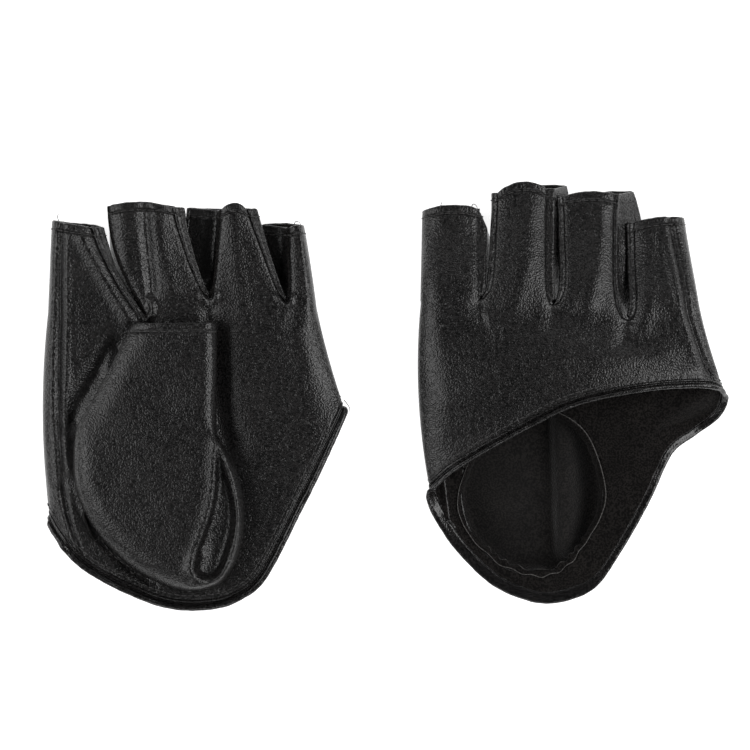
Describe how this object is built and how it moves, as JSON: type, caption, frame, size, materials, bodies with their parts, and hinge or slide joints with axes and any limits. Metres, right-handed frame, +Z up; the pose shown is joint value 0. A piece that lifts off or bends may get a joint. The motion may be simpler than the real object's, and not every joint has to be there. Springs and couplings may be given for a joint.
{
  "type": "pair of fingerless gloves",
  "caption": "Pair of short fingerless leather gloves, one lying palm up with its thumb folded over the palm and one lying back up on its thumb.",
  "frame": {"origin": "middle of the pair's footprint, on the surface that the gloves lie on", "axes": "+X across the pair, from the left-hand glove to the right-hand glove; +Y from the wrists to the fingertips; +Z up, through the thickness of the flat gloves"},
  "size_m": [0.2456, 0.151, 0.0271],
  "materials": {
    "glove_leather": "black grained synthetic leather, satin, with a smooth dark bonded fabric on its inner face",
    "binding_leather": "black grained synthetic leather rolled over the wrist edge, satin",
    "thread": "black sewing thread, slightly glossy"
  },
  "bodies": {
    "left_glove": {"left_back_panel": "glove_leather", "left_palm_panel": "glove_leather", "left_fourchette_index_middle": "glove_leather", "left_fourchette_middle_ring": "glove_leather", "left_fourchette_ring_little": "glove_leather", "left_wrist_binding": "binding_leather", "left_binding_thread": "thread", "left_hem_thread_index": "thread", "left_hem_thread_middle": "thread", "left_hem_thread_ring": "thread", "left_hem_thread_little": "thread", "left_side_seam_thread_index": "thread", "left_side_seam_thread_little": "thread", "left_thumb_seam_thread": "thread"},
    "left_thumb": {"left_thumb": "glove_leather", "left_hem_thread_thumb": "thread"},
    "right_glove": {"right_back_panel": "glove_leather", "right_palm_panel": "glove_leather", "right_fourchette_index_middle": "glove_leather", "right_fourchette_middle_ring": "glove_leather", "right_fourchette_ring_little": "glove_leather", "right_wrist_binding": "binding_leather", "right_binding_thread": "thread", "right_hem_thread_index": "thread", "right_hem_thread_middle": "thread", "right_hem_thread_ring": "thread", "right_hem_thread_little": "thread", "right_side_seam_thread_index": "thread", "right_side_seam_thread_little": "thread", "right_thumb_seam_thread": "thread"},
    "right_thumb": {"right_thumb": "glove_leather", "right_hem_thread_thumb": "thread"}
  },
  "joints": [
    {"name": "left_thumb_swing", "type": "hinge", "parent": "left_glove", "child": "left_thumb", "pos_m": [-0.0811, -0.0396, 0.0118], "axis": [0, 0, 1], "range_deg": [-15, 50]},
    {"name": "right_glove_lift", "type": "slide", "parent": "left_glove", "child": "right_glove", "axis": [0, 0, 1], "range_m": [0, 0.15]},
    {"name": "right_thumb_swing", "type": "hinge", "parent": "right_glove", "child": "right_thumb", "pos_m": [0.0531, -0.0366, 0.0091], "axis": [0, 0, 1], "range_deg": [-15, 50]}
  ]
}
